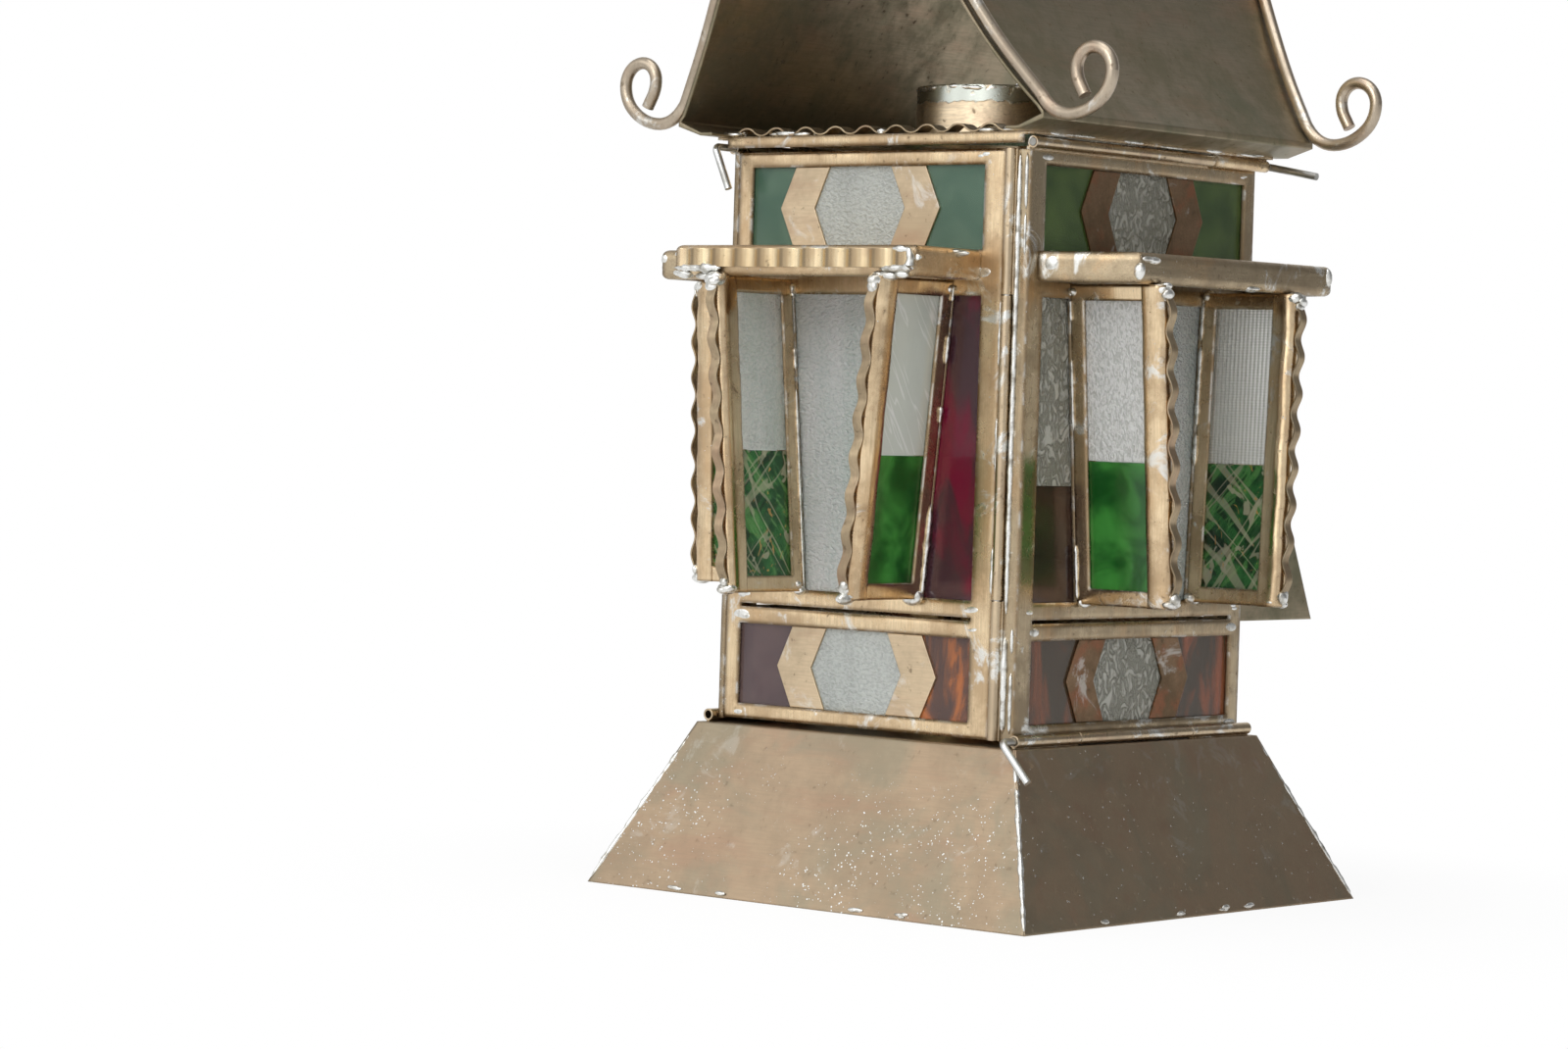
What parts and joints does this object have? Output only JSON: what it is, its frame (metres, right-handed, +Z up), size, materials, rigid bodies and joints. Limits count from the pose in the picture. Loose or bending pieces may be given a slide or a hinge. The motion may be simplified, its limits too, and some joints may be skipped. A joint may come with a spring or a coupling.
{
  "type": "oil lantern",
  "caption": "Soldered brass and coloured glass oil lantern: flared base, tilting housing with a hinged door, side fins, tilting lid with a gable roof, smoke collar and hanging ring.",
  "frame": {"origin": "middle of the base's foot, on the surface it stands on", "axes": "+X to the right as seen from the door, +Y to the rear, +Z up; the door faces -Y"},
  "size_m": [0.167, 0.173, 0.3277],
  "materials": {
    "brass_sheet": "thin sheet with a brown patina",
    "brass_channel": "folded channel, rubbed bright on its edges",
    "brass_ribbon": "thin corrugated strip",
    "brass_tube": "small tube, tinned by the solder",
    "steel_wire": "galvanised wire",
    "copper_wire": "thick wire, tinned and browned",
    "lamp_brass": "plain brass",
    "window_glass": "hammered and streaky panes of mixed colour",
    "fin_glass": "green pane below, clear textured pane above",
    "wick_cotton": "flat woven cotton"
  },
  "bodies": {
    "base": {"base_panel_front": "brass_sheet", "base_panel_right": "brass_sheet", "base_panel_rear": "brass_sheet", "base_panel_left": "brass_sheet", "base_floor": "brass_sheet", "base_hinge_tubes": "brass_tube", "base_latch_tubes": "brass_tube", "base_hinge_pin": "steel_wire", "font_ring": "lamp_brass", "oil_font": "lamp_brass", "burner": "lamp_brass"},
    "base_latch_pin": {"base_latch_pin": "steel_wire"},
    "wick": {"wick": "wick_cotton"},
    "wick_shaft": {"wick_shaft": "lamp_brass"},
    "housing": {"right_frame": "brass_channel", "left_frame": "brass_channel", "rear_frame": "brass_channel", "right_window_glass": "window_glass", "left_window_glass": "window_glass", "rear_window_glass": "window_glass", "right_chevrons": "brass_channel", "left_chevrons": "brass_channel", "rear_chevrons": "brass_channel", "right_fin_frames": "brass_channel", "right_fin_glass": "fin_glass", "right_fin_ribbons": "brass_ribbon", "left_fin_frames": "brass_channel", "left_fin_glass": "fin_glass", "left_fin_ribbons": "brass_ribbon", "right_ledge": "brass_sheet", "left_ledge": "brass_sheet", "rear_hood": "brass_sheet", "housing_foot_tubes": "brass_tube", "housing_top_tubes": "brass_tube", "door_post_tubes": "brass_tube", "door_hinge_pin": "steel_wire"},
    "lid_latch_pin": {"lid_latch_pin": "steel_wire"},
    "door": {"door_frame": "brass_channel", "door_window_glass": "window_glass", "door_chevrons": "brass_channel", "door_fin_frames": "brass_channel", "door_fin_glass": "fin_glass", "door_fin_ribbons": "brass_ribbon", "door_ledge": "brass_sheet", "door_ledge_ribbon": "brass_ribbon", "door_tube": "brass_tube"},
    "lid": {"lid_plate": "brass_sheet", "smoke_collar": "brass_sheet", "lid_tubes": "brass_tube", "plate_ribbon": "brass_ribbon", "roof_right": "brass_sheet", "roof_left": "brass_sheet", "ridge_cap": "brass_sheet", "gable_ribs": "copper_wire", "hanging_eye": "copper_wire", "lid_hinge_pin": "steel_wire"},
    "hanging_ring": {"hanging_ring": "copper_wire"}
  },
  "joints": [
    {"name": "housing_tilt", "type": "hinge", "parent": "base", "child": "housing", "pos_m": [0.0519, 0, 0.0459], "axis": [0, 1, 0], "range_deg": [0, 90]},
    {"name": "door_swing", "type": "hinge", "parent": "housing", "child": "door", "pos_m": [0.0437, -0.05, 0.12], "axis": [0, 0, 1], "range_deg": [0, 110]},
    {"name": "lid_lift", "type": "hinge", "parent": "housing", "child": "lid", "pos_m": [0.0519, 0, 0.1985], "axis": [0, 1, 0], "range_deg": [0, 75]},
    {"name": "ring_swing", "type": "hinge", "parent": "lid", "child": "hanging_ring", "pos_m": [0, 0, 0.32289], "axis": [0, 1, 0], "range_deg": [0, 311]},
    {"name": "lid_latch_slide", "type": "slide", "parent": "housing", "child": "lid_latch_pin", "axis": [0, 1, 0], "range_m": [0, 0.005]},
    {"name": "base_latch_slide", "type": "slide", "parent": "base", "child": "base_latch_pin", "axis": [0, -1, 0], "range_m": [0, 0.005]},
    {"name": "wick_turn", "type": "hinge", "parent": "base", "child": "wick_shaft", "pos_m": [0.0034, 0, 0.077], "axis": [0, 1, 0], "range_deg": [-155, 103]},
    {"name": "wick_rise", "type": "slide", "parent": "base", "child": "wick", "axis": [0, 0, 1], "range_m": [-0.006, 0.004]}
  ],
  "couplings": [
    {"joint": "wick_rise", "follows": "wick_turn", "m_per_rad": 0.0022}
  ]
}
